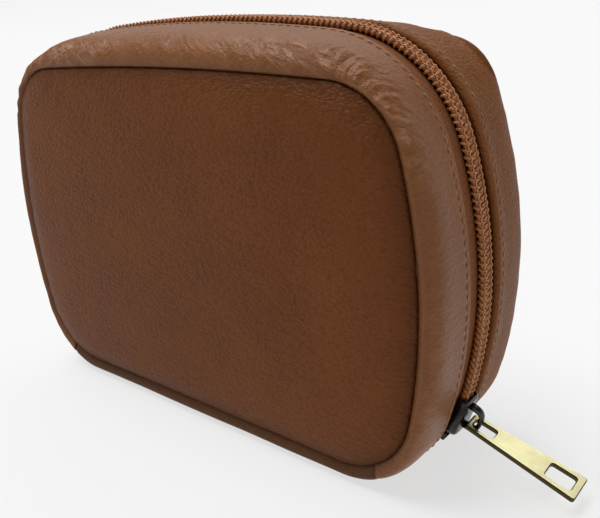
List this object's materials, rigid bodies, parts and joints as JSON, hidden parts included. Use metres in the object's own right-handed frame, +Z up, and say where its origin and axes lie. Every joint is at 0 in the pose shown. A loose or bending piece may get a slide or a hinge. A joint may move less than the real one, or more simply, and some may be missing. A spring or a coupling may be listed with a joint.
{
  "type": "zip-around toiletry bag",
  "caption": "Small padded leather toiletry bag with a rounded box shape, a zip round its top and sides, a metal slider and a slotted pull tab.",
  "frame": {"origin": "middle of the flat base that the bag rests on, in the plane of the zip", "axes": "+X to the bag's right, where the slider rests; -Y out of the front panel; +Z up"},
  "size_m": [0.2073, 0.0582, 0.1278],
  "materials": {
    "panel_leather": "semi-matt, pebbled, dark cognac",
    "band_leather": "satin, soft, cognac",
    "padding": "open-cell foam sheet",
    "lining_cloth": "plain woven lining",
    "zip_tape": "herringbone woven tape, rust",
    "zip_coil": "nylon coil, rust",
    "board": "stiffening board",
    "slider_metal": "glossy gunmetal plating",
    "tab_brass": "antique brass with dark edges"
  },
  "bodies": {
    "root": {"back_panel": "panel_leather", "back_panel_foam": "padding", "back_band": "band_leather", "back_band_foam": "padding", "back_lining": "lining_cloth", "back_zip_tape": "zip_tape", "back_zip_coil": "zip_coil", "base_gusset": "band_leather", "base_stiffener": "board", "base_lining": "lining_cloth", "front_panel_lower": "panel_leather", "front_panel_foam_lower": "padding", "front_band_lower": "band_leather", "front_band_foam_lower": "padding", "front_lining_lower": "lining_cloth", "front_zip_tape_lower": "zip_tape", "front_zip_coil_lower": "zip_coil", "zip_top_stops": "slider_metal", "zip_bottom_stop": "slider_metal"},
    "front_flap": {"front_panel_upper": "panel_leather", "front_panel_foam_upper": "padding", "front_band_upper": "band_leather", "front_band_foam_upper": "padding", "front_lining_upper": "lining_cloth", "front_zip_tape_upper": "zip_tape", "front_zip_coil_upper": "zip_coil"},
    "zip_slider": {"slider_body": "slider_metal", "slider_bridge": "slider_metal"},
    "pull_tab": {"pull_tab": "tab_brass"}
  },
  "joints": [
    {"name": "flap_open", "type": "hinge", "parent": "root", "child": "front_flap", "pos_m": [0, -0.0294, 0.037], "axis": [1, 0, 0], "range_deg": [0, 70], "deforming": ["front_zip_coil_upper"]},
    {"name": "slider_travel", "type": "hinge", "parent": "root", "child": "zip_slider", "pos_m": [-0.0413, 0, 0.057], "axis": [0, -1, 0], "range_deg": [0, 30], "deforming": ["back_zip_coil", "front_zip_coil_lower"]},
    {"name": "tab_swing", "type": "hinge", "parent": "zip_slider", "child": "pull_tab", "pos_m": [0.08579, 0, 0.01513], "axis": [0, -1, 0], "range_deg": [-68, 71]}
  ]
}
